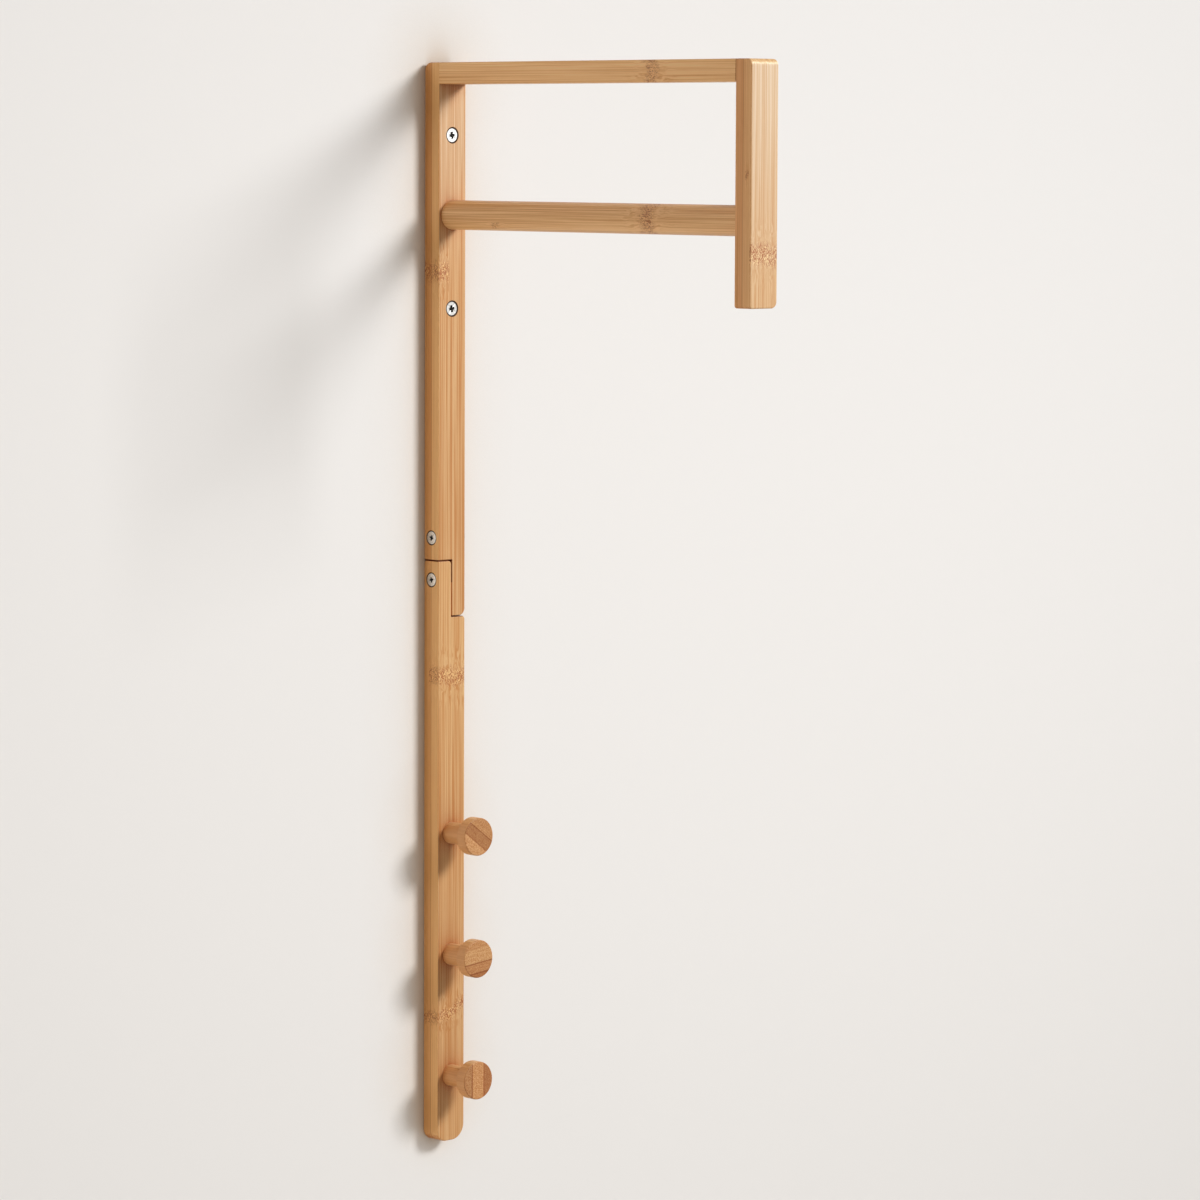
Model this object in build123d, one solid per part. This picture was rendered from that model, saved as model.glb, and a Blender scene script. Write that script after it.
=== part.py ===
from build123d import *

import os
from dataclasses import dataclass

# Wall coat rack made of laminated bamboo strip, screwed to the wall through its rail.
# X runs along the wall, Y into the wall and Z up, so the room is at negative Y.
# The origin lies on the wall, midway between the two wall screws. All sizes are in millimetres.

# Bamboo strip that both lengths of the rail, the arm and the drop are cut from
strip_width = 25.0
strip_thickness = 15.0
edge_easing = 0.8

# Rail, in two lengths that meet in a half-lap
top_height = 110.5
upper_body_height = 346.6
lower_body_height = 372.7
lap_length = 39.6
lap_end_clearance = 0.4
lap_face_clearance = 0.3
rail_top_rounding = 6.0
upper_tongue_corner = 5.2
lower_tongue_corner = 3.0
lower_tongue_rounding = 2.4
lower_shoulder_corner = 2.6
foot_left_corner = 8.0
foot_right_corner = 11.0

# Arm and drop
arm_length = 290.0
drop_height = 162.5
drop_top_rounding = 4.6
drop_left_corner = 2.0
drop_right_corner = 4.6
drop_easing = 1.0

# Hanging bar
bar_diameter = 20.5
bar_below_top = 105.5
bar_in_drop = 8.0
bar_clearance = 0.1

# Pegs, from the lowest upwards
peg_names = ("peg_lower", "peg_middle", "peg_upper")
lowest_peg_height = 46.8
peg_spacing = 86.5
peg_stem_diameter = 15.3
peg_neck_length = 20.5
peg_neck_rounding = 1.0
peg_head_diameter = 26.8
peg_head_thickness = 8.7
peg_rim_rounding = 0.9

# Blind dowels between the arm and the drop
dowel_diameter = 6.0
dowel_spacing = 13.0
dowel_in_drop = 9.0
dowel_in_arm = 14.0
dowel_chamfer = 0.8
dowel_clearance = 0.05

# Places of the screws
wall_screw_spacing = 120.5
wall_thread_setback = 0.6
arm_screw_spacing = 13.0
arm_screw_below_middle = 3.4
cross_bolt_above_lap = 15.6
lap_screw_below_end = 13.5
wood_past_lap_screw = 3.3
bolt_short_of_width = 4.8

# Screw heads, their cross recesses and the holes that take the screws
head_rim = 0.3
recess_span = 0.52
recess_width = 0.16
recess_depth = 0.3
seat_clearance = 0.4
shank_clearance = 0.3
thread_clearance = 0.05
hole_end_allowance = 1.0

# Cap nut on the far end of the cross bolt
nut_cap_diameter = 9.0
nut_cap_height = 4.2
nut_cap_rounding = 2.4
nut_sleeve_diameter = 7.0
nut_sleeve_length = 14.0
nut_sleeve_clearance = 0.1
nut_bore_in_cap = 1.5


@dataclass(frozen=True)
class Screw:
    """A countersunk screw, and how far its head lies below the face that it is driven into."""

    head_diameter: float
    shank_diameter: float
    thread_diameter: float
    length: float
    point_length: float
    sunk: float


wall_screw = Screw(
    head_diameter=9.8, shank_diameter=3.7, thread_diameter=5.0, length=50.0, point_length=6.0, sunk=0.5
)
long_screw = Screw(
    head_diameter=7.6, shank_diameter=2.9, thread_diameter=4.0, length=45.0, point_length=4.5, sunk=0.5
)
peg_screw = Screw(
    head_diameter=7.6, shank_diameter=2.9, thread_diameter=4.0, length=34.0, point_length=4.5, sunk=0.5
)
lap_screw = Screw(
    head_diameter=9.4,
    shank_diameter=3.3,
    thread_diameter=4.5,
    length=strip_width - wood_past_lap_screw,
    point_length=4.0,
    sunk=0.2,
)
cross_bolt = Screw(
    head_diameter=9.4,
    shank_diameter=4.4,
    thread_diameter=5.0,
    length=strip_width - bolt_short_of_width,
    point_length=0.8,
    sunk=0.2,
)

# Planes and levels that several pieces share
right = strip_width / 2
left = -right
rail_front = -strip_thickness
rail_middle = -strip_thickness / 2
drop_back = rail_front - arm_length
drop_front = drop_back - strip_thickness
upper_shoulder = top_height - upper_body_height
upper_tongue_end = upper_shoulder - lap_length
lower_tongue_end = upper_shoulder - lap_end_clearance
lower_shoulder = upper_tongue_end - lap_end_clearance
foot = lower_shoulder - lower_body_height
arm_underside = top_height - strip_thickness
arm_middle = top_height - strip_thickness / 2
bar_level = top_height - bar_below_top
cross_bolt_level = upper_shoulder + cross_bolt_above_lap
lap_screw_level = lower_tongue_end - lap_screw_below_end
wall_screw_levels = [side * wall_screw_spacing / 2 for side in (1, -1)]
peg_levels = [foot + lowest_peg_height + i * peg_spacing for i in range(len(peg_names))]

# Places, along the wall and up, of what is driven from behind through the rail, and of the dowels
arm_screw_places = [(side * arm_screw_spacing / 2, arm_middle - arm_screw_below_middle) for side in (-1, 1)]
bar_screw_places = [(0, bar_level)]
peg_screw_places = [(0, level) for level in peg_levels]
dowel_places = [(side * dowel_spacing / 2, arm_middle) for side in (-1, 1)]

# Turns that point the top of an upright screw, nut or peg at the room, the wall, the left or the right
to_room = Rotation(90, 0, 0)
to_wall = Rotation(-90, 0, 0)
to_left = Rotation(0, -90, 0)
to_right = Rotation(0, 90, 0)

# How a cylinder or a box stands when its top lies at height zero
hanging = (Align.CENTER, Align.CENTER, Align.MAX)


def block(low, high):
    """A block between its lowest and its highest corner."""
    size = [b - a for a, b in zip(low, high)]
    return Pos(*low) * Box(*size, align=(Align.MIN, Align.MIN, Align.MIN))


def near(value, place):
    """Whether a coordinate is at a place, where no place means any."""
    return place is None or abs(value - place) < 0.01


def edges_at(shape, axis, x=None, y=None, z=None):
    """The edges of a shape that run along an axis and whose middles are at the given places."""
    return [
        edge
        for edge in shape.edges().filter_by(axis)
        if near(edge.center().X, x) and near(edge.center().Y, y) and near(edge.center().Z, z)
    ]


def runs_smoothly(edge, shape):
    """Whether the two faces beside an edge meet without a corner, as where a rounding ends."""
    middle = edge @ 0.5
    one, other = (face.normal_at(middle) for face in shape.faces() if edge in face.edges())
    return one.get_angle(other) < 1


def eased(shape, radius, sharp=()):
    """The shape with the edges round its broad faces and its sides eased, apart from the sharp ones."""
    outlines = []
    for axis in (Axis.X, Axis.Y):
        faces = shape.faces().filter_by(axis).sort_by(axis)
        outlines += faces[0].edges() + faces[-1].edges()
    wanted = [e for e in dict.fromkeys(outlines) if e not in sharp and not runs_smoothly(e, shape)]
    return fillet(wanted, radius)


def turned(outline):
    """A piece turned about the Z axis from its half outline of (radius, height) points."""
    return revolve(make_face(Plane.XZ * Polyline(*outline, close=True)), axis=Axis.Z)


def rounded_rims(shape, radius, diameter):
    """A turned piece with its circular edges of one diameter rounded."""
    rims = [e for e in shape.edges().filter_by(GeomType.CIRCLE) if near(2 * e.radius, diameter)]
    return fillet(rims, radius)


def cross_recess(screw):
    """The two crossed slots in a screw's head that the driver fits."""
    span, width, depth = (share * screw.head_diameter for share in (recess_span, recess_width, recess_depth))
    return Box(span, width, depth, align=hanging) + Box(width, span, depth, align=hanging)


def screw_body(screw, plain_length):
    """An upright screw, its head sunk below height zero and its shank plain down to a given depth."""
    head, shank, thread = (d / 2 for d in (screw.head_diameter, screw.shank_diameter, screw.thread_diameter))
    outline = [
        (0, 0),
        (head, 0),
        (head, -head_rim),
        (shank, -head_rim - head + shank),
        (shank, screw.sunk - plain_length),
        (thread, screw.sunk - plain_length),
        (thread, screw.point_length - screw.length),
        (0, -screw.length),
    ]
    return Pos(0, 0, -screw.sunk) * (turned(outline) - cross_recess(screw))


def screw_hole(screw, plain_depth, full_depth=0):
    """The hole for an upright screw: a countersink, a clearance hole and then a hole for its thread."""
    mouth = screw.head_diameter / 2 + seat_clearance + screw.sunk
    bore = screw.thread_diameter / 2 + shank_clearance
    hole = turned([(0, 0), (mouth, 0), (bore, bore - mouth), (bore, -plain_depth), (0, -plain_depth)])
    if full_depth > plain_depth:
        hole += Cylinder(screw.thread_diameter / 2 + thread_clearance, full_depth, align=hanging)
    return hole


def hole_depth(screw):
    """How deep the hole for a whole screw goes."""
    return screw.sunk + screw.length + hole_end_allowance


def from_behind(shape, places):
    """Copies of an upright screw or hole whose heads lie on the back of the rail."""
    return [Pos(x, 0, z) * to_wall * shape for x, z in places]


def rail_screws(screw, places):
    """Screws driven from behind through the rail into what it carries."""
    return Compound(children=from_behind(screw_body(screw, strip_thickness), places))


def rail_screw_holes(screw, places):
    """The holes for such screws, through the rail and on into what it carries."""
    return from_behind(screw_hole(screw, strip_thickness, hole_depth(screw)), places)


def in_left_side(shape, level):
    """An upright screw or hole moved so that its head lies on the rail's left side."""
    return Pos(left, rail_middle, level) * to_left * shape


def lap_screw_hole():
    """The lap screw's hole, clear through the lower tongue and threaded into the upper one."""
    return in_left_side(screw_hole(lap_screw, right, hole_depth(lap_screw)), lap_screw_level)


def cross_bolt_hole():
    """The cross bolt's hole from the left and the hole for the nut's sleeve from the right."""
    sleeve = Cylinder(
        nut_sleeve_diameter / 2 + nut_sleeve_clearance, nut_sleeve_length + hole_end_allowance, align=hanging
    )
    hole = in_left_side(screw_hole(cross_bolt, strip_width), cross_bolt_level)
    return hole + Pos(right, rail_middle, cross_bolt_level) * to_right * sleeve


def upper_rail():
    """Upper length of the rail, with its tongue on the right half."""
    lap_plane = lap_face_clearance / 2
    body = block((left, rail_front, upper_shoulder), (right, 0, top_height))
    body += block((lap_plane, rail_front, upper_tongue_end), (right, 0, upper_shoulder))
    body = fillet(edges_at(body, Axis.X, y=0, z=top_height), rail_top_rounding)
    body = fillet(edges_at(body, Axis.Y, x=right, z=upper_tongue_end), upper_tongue_corner)
    body = eased(body, edge_easing, sharp=edges_at(body, Axis.X, y=rail_front, z=top_height))
    body -= rail_screw_holes(long_screw, arm_screw_places + bar_screw_places)
    for level in wall_screw_levels:
        body -= Pos(0, rail_front, level) * to_room * screw_hole(wall_screw, strip_thickness)
    return body - cross_bolt_hole() - lap_screw_hole()


def lower_rail():
    """Lower length of the rail, with its tongue on the left half and a rounded foot."""
    lap_plane = -lap_face_clearance / 2
    body = block((left, rail_front, foot), (right, 0, lower_shoulder))
    body += block((left, rail_front, lower_shoulder), (lap_plane, 0, lower_tongue_end))
    body = fillet(edges_at(body, Axis.X, y=0, z=lower_tongue_end), lower_tongue_rounding)
    body = fillet(edges_at(body, Axis.Y, x=lap_plane, z=lower_tongue_end), lower_tongue_corner)
    body = fillet(edges_at(body, Axis.Y, x=right, z=lower_shoulder), lower_shoulder_corner)
    body = fillet(edges_at(body, Axis.Y, x=left, z=foot), foot_left_corner)
    body = fillet(edges_at(body, Axis.Y, x=right, z=foot), foot_right_corner)
    body = eased(body, edge_easing)
    body -= rail_screw_holes(peg_screw, peg_screw_places)
    return body - lap_screw_hole()


def dowel_holes():
    """The holes for the dowels, through the joint between the drop and the arm."""
    radius = dowel_diameter / 2 + dowel_clearance
    length = dowel_in_drop + dowel_in_arm + 2 * hole_end_allowance
    hole = to_room * Cylinder(radius, length, align=hanging)
    return [Pos(x, drop_back - dowel_in_drop - hole_end_allowance, z) * hole for x, z in dowel_places]


def top_arm():
    """Arm that carries the drop, flush with the top of the rail."""
    body = block((left, drop_back, arm_underside), (right, rail_front, top_height))
    body = fillet(body.edges().filter_by(Axis.Y), edge_easing)
    body -= rail_screw_holes(long_screw, arm_screw_places)
    return body - dowel_holes()


def front_drop():
    """Drop at the end of the arm, with blind holes in its back for the dowels and the bar."""
    drop_end = top_height - drop_height
    body = block((left, drop_front, drop_end), (right, drop_back, top_height))
    body = fillet(edges_at(body, Axis.X, y=drop_front, z=top_height), drop_top_rounding)
    body = fillet(edges_at(body, Axis.Y, x=left, z=drop_end), drop_left_corner)
    body = fillet(edges_at(body, Axis.Y, x=right, z=drop_end), drop_right_corner)
    body = eased(body, drop_easing, sharp=edges_at(body, Axis.X, y=drop_back, z=top_height))
    socket = Cylinder(bar_diameter / 2 + bar_clearance, bar_in_drop, align=hanging)
    body -= Pos(0, drop_back - bar_in_drop, bar_level) * to_room * socket
    return body - dowel_holes()


def hanging_bar():
    """Round bar that hangers hook over, from the rail's front into the drop."""
    bar = Cylinder(bar_diameter / 2, arm_length + bar_in_drop, align=hanging)
    bar = Pos(0, drop_back - bar_in_drop, bar_level) * to_room * bar
    return bar - rail_screw_holes(long_screw, bar_screw_places)


def arm_dowels():
    """Fluteless dowels with chamfered ends, glued half into the drop and half into the arm."""
    dowel = Cylinder(dowel_diameter / 2, dowel_in_drop + dowel_in_arm, align=hanging)
    dowel = chamfer(dowel.edges().filter_by(GeomType.CIRCLE), dowel_chamfer)
    return Compound(children=[Pos(x, drop_back - dowel_in_drop, z) * to_room * dowel for x, z in dowel_places])


def peg():
    """Upright turned peg: a round stem on the rail's face, then a flat disc head."""
    stem, head, top = peg_stem_diameter / 2, peg_head_diameter / 2, peg_neck_length + peg_head_thickness
    outline = [(0, 0), (stem, 0), (stem, peg_neck_length), (head, peg_neck_length), (head, top), (0, top)]
    body = turned(outline)
    body = rounded_rims(body, peg_rim_rounding, peg_head_diameter)
    corner = [e for e in body.edges().filter_by(GeomType.CIRCLE) if near(e.center().Z, peg_neck_length)]
    return fillet([e for e in corner if near(2 * e.radius, peg_stem_diameter)], peg_neck_rounding)


def placed_peg(level):
    """A peg on the front of the rail at one level, bored for its screw."""
    body = Pos(0, rail_front, level) * to_room * peg()
    return body - rail_screw_holes(peg_screw, [(0, level)])


def wall_screws():
    """The two screws that hold the rack to the wall, with their threads behind the rail."""
    body = screw_body(wall_screw, strip_thickness + wall_thread_setback)
    return Compound(children=[Pos(0, rail_front, level) * to_room * body for level in wall_screw_levels])


def cap_nut():
    """Round cap nut on the rail's right side, with a threaded sleeve in the rail."""
    sleeve, cap, bore = nut_sleeve_diameter / 2, nut_cap_diameter / 2, cross_bolt.thread_diameter / 2
    outline = [(0, nut_cap_height), (cap, nut_cap_height), (cap, 0), (sleeve, 0)]
    outline += [(sleeve, -nut_sleeve_length), (0, -nut_sleeve_length)]
    body = turned(outline)
    crown = [e for e in body.edges().filter_by(GeomType.CIRCLE) if near(e.center().Z, nut_cap_height)]
    body = fillet(crown, nut_cap_rounding)
    thread = Cylinder(bore + thread_clearance, nut_sleeve_length + nut_bore_in_cap, align=hanging)
    body -= Pos(0, 0, nut_bore_in_cap) * thread
    return Pos(right, rail_middle, cross_bolt_level) * to_right * body


nodes = {
    "upper_rail": upper_rail(),
    "lower_rail": lower_rail(),
    "top_arm": top_arm(),
    "front_drop": front_drop(),
    "hanging_bar": hanging_bar(),
    "arm_dowels": arm_dowels(),
    "wall_screws": wall_screws(),
    "arm_screws": rail_screws(long_screw, arm_screw_places),
    "bar_screw": rail_screws(long_screw, bar_screw_places),
    "peg_screws": rail_screws(peg_screw, peg_screw_places),
    "lap_screw": in_left_side(screw_body(lap_screw, right), lap_screw_level),
    "cross_bolt": in_left_side(screw_body(cross_bolt, right), cross_bolt_level),
    "cap_nut": cap_nut(),
}
nodes |= {name: placed_peg(level) for name, level in zip(peg_names, peg_levels)}

os.makedirs("parts", exist_ok=True)
for name, shape in nodes.items():
    export_step(shape, f"parts/{name}.step")
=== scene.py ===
"""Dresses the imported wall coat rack: bamboo, screws, the wall behind it, the light and the camera.

Everything is in metres. X runs along the wall, Y into the wall and Z up, and the wall's face is at Y = 0.
"""

import logging
import math
from collections.abc import Callable, Iterable
from dataclasses import asdict, dataclass, field, replace
from enum import Enum
import bmesh
import bpy
from mathutils import Euler, Matrix, Vector


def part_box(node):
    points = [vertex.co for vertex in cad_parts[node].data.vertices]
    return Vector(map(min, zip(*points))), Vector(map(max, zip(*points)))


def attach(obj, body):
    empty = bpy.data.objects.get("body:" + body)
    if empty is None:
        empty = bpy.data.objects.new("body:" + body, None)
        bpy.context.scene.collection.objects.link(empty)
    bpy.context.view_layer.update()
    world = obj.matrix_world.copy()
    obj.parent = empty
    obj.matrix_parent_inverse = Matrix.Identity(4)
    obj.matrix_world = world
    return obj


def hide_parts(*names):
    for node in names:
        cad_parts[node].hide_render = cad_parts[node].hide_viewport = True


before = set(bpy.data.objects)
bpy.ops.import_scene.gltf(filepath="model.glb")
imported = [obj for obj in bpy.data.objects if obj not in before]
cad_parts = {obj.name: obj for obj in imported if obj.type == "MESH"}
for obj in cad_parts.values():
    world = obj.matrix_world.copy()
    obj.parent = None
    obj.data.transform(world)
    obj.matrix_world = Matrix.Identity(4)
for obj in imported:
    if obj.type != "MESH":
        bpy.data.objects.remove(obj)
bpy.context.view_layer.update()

LOG = logging.getLogger("coat_rack")
BODY = "root"
MM = 0.001
BEYOND = 1.0  # metres, further from the frame's origin than any piece reaches

Socket = bpy.types.NodeSocket
Color = tuple[float, float, float]


def srgb(red: int, green: int, blue: int) -> Color:
    """Turns a colour as a picture shows it into a linear one.

    Args:
        red: Red, from 0 to 255.
        green: Green, from 0 to 255.
        blue: Blue, from 0 to 255.

    Returns:
        The linear colour, each part from 0 to 1.
    """
    parts = (value / 255 for value in (red, green, blue))
    return tuple(v / 12.92 if v <= 0.04045 else ((v + 0.055) / 1.055) ** 2.4 for v in parts)


class Graph:
    """A node tree that is built up node by node, from sockets and plain values."""

    def __init__(self, tree: bpy.types.NodeTree) -> None:
        """Keeps the tree.

        Args:
            tree: The node tree of a material, a world or a node group.
        """
        self.tree = tree

    def feed(self, target: Socket, value: object) -> None:
        """Links a socket into an input, or sets the input to a plain value.

        Args:
            target: The input.
            value: An output socket, a number, or a tuple of numbers.
        """
        if isinstance(value, Socket):
            self.tree.links.new(value, target)
        else:
            target.default_value = value

    def node(
        self, kind: str, inputs: dict[str | int, object] | None = None, **settings: object
    ) -> bpy.types.Node:
        """Adds a node.

        Args:
            kind: The node's type name.
            inputs: Sockets or values by the input's name or number.
            settings: Properties of the node, set before its inputs.

        Returns:
            The new node.
        """
        node = self.tree.nodes.new(kind)
        for name, value in settings.items():
            setattr(node, name, value)
        for name, value in (inputs or {}).items():
            self.feed(node.inputs[name], value)
        return node

    def math(self, operation: str, *values: object) -> Socket:
        """Adds a Math node and returns its result."""
        return self.node("ShaderNodeMath", dict(enumerate(values)), operation=operation).outputs[0]

    def product(self, *factors: object) -> Socket:
        """Multiplies several values.

        Args:
            factors: Sockets or numbers.

        Returns:
            Their product.
        """
        result = factors[0]
        for factor in factors[1:]:
            result = self.math("MULTIPLY", result, factor)
        return result

    def spread(self, value: Socket, reach: object) -> Socket:
        """Turns a value from 0 to 1 into one from minus half a reach to plus half of it."""
        return self.math("MULTIPLY", self.math("SUBTRACT", value, 0.5), reach)

    def vector(self, operation: str, *values: object) -> Socket:
        """Adds a Vector Math node and returns its vector."""
        return self.node("ShaderNodeVectorMath", dict(enumerate(values)), operation=operation).outputs[0]

    def measure(self, operation: str, *values: object) -> Socket:
        """Adds a Vector Math node that gives a number, and returns that number."""
        node = self.node("ShaderNodeVectorMath", dict(enumerate(values)), operation=operation)
        return node.outputs["Value"]

    def parts(self, vector: Socket) -> tuple[Socket, Socket, Socket]:
        """Splits a vector into its X, Y and Z."""
        return tuple(self.node("ShaderNodeSeparateXYZ", {0: vector}).outputs)

    def joined(self, x: object, y: object, z: object) -> Socket:
        """Makes a vector of three values."""
        return self.node("ShaderNodeCombineXYZ", {0: x, 1: y, 2: z}).outputs[0]

    def ramp(self, value: Socket, low: object, high: object, start: float = 0.0, end: float = 1.0) -> Socket:
        """Eases a value from one range to another.

        Args:
            value: What is read.
            low: The value at which the result is `start`.
            high: The value at which the result is `end`.
            start: The result up to `low`.
            end: The result from `high` on.

        Returns:
            The eased value.
        """
        inputs = {"Value": value, "From Min": low, "From Max": high, "To Min": start, "To Max": end}
        return self.node("ShaderNodeMapRange", inputs, interpolation_type="SMOOTHSTEP").outputs[0]

    def noise(
        self, vector: Socket, scale: float, detail: float = 1.0, bend: float = 0.0, along: float = 1.0
    ) -> Socket:
        """Adds a noise texture.

        Args:
            vector: The place that it is read at.
            scale: Its scale, in features per metre.
            detail: How many finer layers it has.
            bend: How far it is distorted.
            along: What its Z is multiplied by, so that a small value draws it out into streaks.

        Returns:
            Its value, from 0 to 1.
        """
        if along != 1.0:
            vector = self.vector("MULTIPLY", vector, (1.0, 1.0, along))
        inputs = {"Vector": vector, "Scale": scale, "Detail": detail, "Distortion": bend}
        return self.node("ShaderNodeTexNoise", inputs).outputs[0]

    def open_air(self, reach: float) -> Socket:
        """Gives how open a place is to the air within a reach, from 0 to 1."""
        return self.node("ShaderNodeAmbientOcclusion", {"Distance": reach}, samples=8).outputs["AO"]

    def mix(self, share: object, first: object, second: object, blend: str = "MIX") -> Socket:
        """Mixes two colours.

        Args:
            share: How much of the second colour there is, from 0 to 1.
            first: The first colour.
            second: The second colour.
            blend: How the second colour is laid over the first.

        Returns:
            The mixed colour.
        """
        colors = {6: first, 7: second}
        inputs = {0: share} | {k: v if isinstance(v, Socket) else (*v, 1.0) for k, v in colors.items()}
        return self.node("ShaderNodeMix", inputs, data_type="RGBA", blend_type=blend).outputs[2]

    def tinted(self, share: object, color: object, tint: object) -> Socket:
        """Multiplies a colour by a tint, where a mask is."""
        return self.mix(share, color, self.mix(1.0, color, tint, "MULTIPLY"))

    def dimmed(self, color: object, level: Socket) -> Socket:
        """Multiplies a colour by a plain level."""
        return self.mix(1.0, color, self.joined(level, level, level), "MULTIPLY")

    def looked_at(self) -> Socket:
        """Tells the rays that are looked along from the ones that only carry light.

        Returns:
            1 for the camera's own rays, and for rays that a mirror or glass sends on.
        """
        path = self.node("ShaderNodeLightPath").outputs
        seen = self.math("MAXIMUM", path["Is Camera Ray"], path["Is Glossy Ray"])
        return self.math("MAXIMUM", seen, path["Is Transmission Ray"])

    def effect(self, group: bpy.types.NodeTree, inputs: dict[str, object]) -> bpy.types.Node:
        """Places a node group."""
        return self.node("ShaderNodeGroup", inputs, node_tree=group)


def new_material(name: str) -> tuple[bpy.types.Material, Graph]:
    """Makes a material with a node tree.

    Args:
        name: Its name.

    Returns:
        The material and its graph.
    """
    material = bpy.data.materials.new(name)
    material.use_nodes = True
    return material, Graph(material.node_tree)


class Effect:
    """A shader node group with named inputs and outputs, built once and used by several materials."""

    def __init__(self, name: str, inputs: dict[str, str], outputs: dict[str, str]) -> None:
        """Makes an empty group.

        Args:
            name: The group's name.
            inputs: Its inputs, each with its kind: Float, Vector or Color.
            outputs: Its outputs, in the same way.
        """
        self.tree = bpy.data.node_groups.new(name, "ShaderNodeTree")
        for side, sockets in (("INPUT", inputs), ("OUTPUT", outputs)):
            for label, kind in sockets.items():
                self.tree.interface.new_socket(label, in_out=side, socket_type=f"NodeSocket{kind}")
        self.graph = Graph(self.tree)
        self.given = self.graph.node("NodeGroupInput").outputs
        self.result = self.graph.node("NodeGroupOutput").inputs

    def gives(self, label: str, value: Socket) -> None:
        """Sends a value to one of the outputs."""
        self.graph.feed(self.result[label], value)


def lamination_effect() -> bpy.types.NodeTree:
    """Builds the glued-up lay of the wood: strips side by side along X, in plies along Y.

    Returns:
        A group that gives each strip its own random values, and a mask of the glue lines.
    """
    effect = Effect(
        "lamination",
        {"Vector": "Vector", "Strip Width": "Float", "Ply Thickness": "Float", "Seed": "Float"},
        {"Strip": "Color", "Glue Line": "Float"},
    )
    line_core, line_edge = 0.05 * MM, 0.4 * MM
    graph = effect.graph
    x, y, _ = graph.parts(effect.given["Vector"])
    cells, gaps = [], []
    for value, width in ((x, effect.given["Strip Width"]), (y, effect.given["Ply Thickness"])):
        ratio = graph.math("DIVIDE", value, width)
        cell = graph.math("FLOOR", ratio)
        inside = graph.math("SUBTRACT", ratio, cell)
        nearest = graph.math("MINIMUM", inside, graph.math("SUBTRACT", 1.0, inside))
        cells.append(cell)
        gaps.append(graph.math("MULTIPLY", nearest, width))
    place = graph.joined(cells[0], cells[1], effect.given["Seed"])
    strip = graph.node("ShaderNodeTexWhiteNoise", {"Vector": place}, noise_dimensions="3D").outputs["Color"]
    effect.gives("Strip", strip)
    effect.gives("Glue Line", graph.ramp(graph.math("MINIMUM", *gaps), line_core, line_edge, 1.0, 0.0))
    return effect.tree


def knuckle_effect() -> bpy.types.NodeTree:
    """Builds the mark that a knuckle of the bamboo cane leaves across a strip.

    Returns:
        A group that gives the mark's mask, and a wider mask where the fibres bend round it.
    """
    effect = Effect(
        "knuckle",
        {
            "Vector": "Vector",
            "Centre": "Float",
            "Half Length": "Float",
            "Low": "Float",
            "High": "Float",
            "Shallow": "Float",
            "Deep": "Float",
            "Slant": "Float",
        },
        {"Mark": "Float", "Bend": "Float"},
    )
    sway_scale, sway_reach = 170.0, 9 * MM
    ragged_scale, ragged_along, ragged_reach = 620.0, 0.15, 1.3
    side_edge = 0.8 * MM
    mark_core, mark_edge = 0.35, 1.25
    bend_core, bend_edge = 0.6, 4.0
    graph, given = effect.graph, effect.given
    x, y, z = graph.parts(given["Vector"])
    sway = graph.spread(graph.noise(graph.joined(x, y, 0.0), sway_scale), sway_reach)
    ragged = graph.noise(given["Vector"], ragged_scale, 2.0, along=ragged_along)
    level = graph.math("ADD", given["Centre"], graph.math("MULTIPLY", given["Slant"], x))
    height = graph.math("ABSOLUTE", graph.math("SUBTRACT", z, graph.math("ADD", level, sway)))
    distance = graph.math("DIVIDE", height, given["Half Length"])
    distance = graph.math("ADD", distance, graph.spread(ragged, ragged_reach))
    across = 1.0
    for value, low, high in ((x, given["Low"], given["High"]), (y, given["Shallow"], given["Deep"])):
        past_low = graph.ramp(graph.math("SUBTRACT", value, low), 0.0, side_edge)
        past_high = graph.ramp(graph.math("SUBTRACT", high, value), 0.0, side_edge)
        across = graph.product(across, past_low, past_high)
    effect.gives("Mark", graph.product(graph.ramp(distance, mark_core, mark_edge, 1.0, 0.0), across))
    effect.gives("Bend", graph.product(graph.ramp(distance, bend_core, bend_edge, 1.0, 0.0), across))
    return effect.tree


def patch_effect() -> bpy.types.NodeTree:
    """Builds the bounds of one strip, ply or seam of the lay.

    Returns:
        A group that gives the mask of the places between two corners.
    """
    effect = Effect("patch", {"Vector": "Vector", "Low": "Vector", "High": "Vector"}, {"Inside": "Float"})
    softness = 0.15 * MM
    graph, given = effect.graph, effect.given
    inside = 1.0
    for difference in (("Vector", "Low"), ("High", "Vector")):
        for part in graph.parts(graph.vector("SUBTRACT", *(given[label] for label in difference))):
            inside = graph.product(inside, graph.ramp(part, -softness, softness))
    effect.gives("Inside", inside)
    return effect.tree


@dataclass(frozen=True)
class Streaks:
    """One layer of fibres: its scale, how far it is drawn out, and the values that it eases between."""

    scale: float
    along: float
    low: float
    high: float


FIBRES = {
    "Broad": Streaks(560.0, 0.004, 0.30, 0.70),
    "Fine": Streaks(1300.0, 0.006, 0.38, 0.62),
    "Pores": Streaks(3400.0, 0.02, 0.56, 0.76),
}


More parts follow.
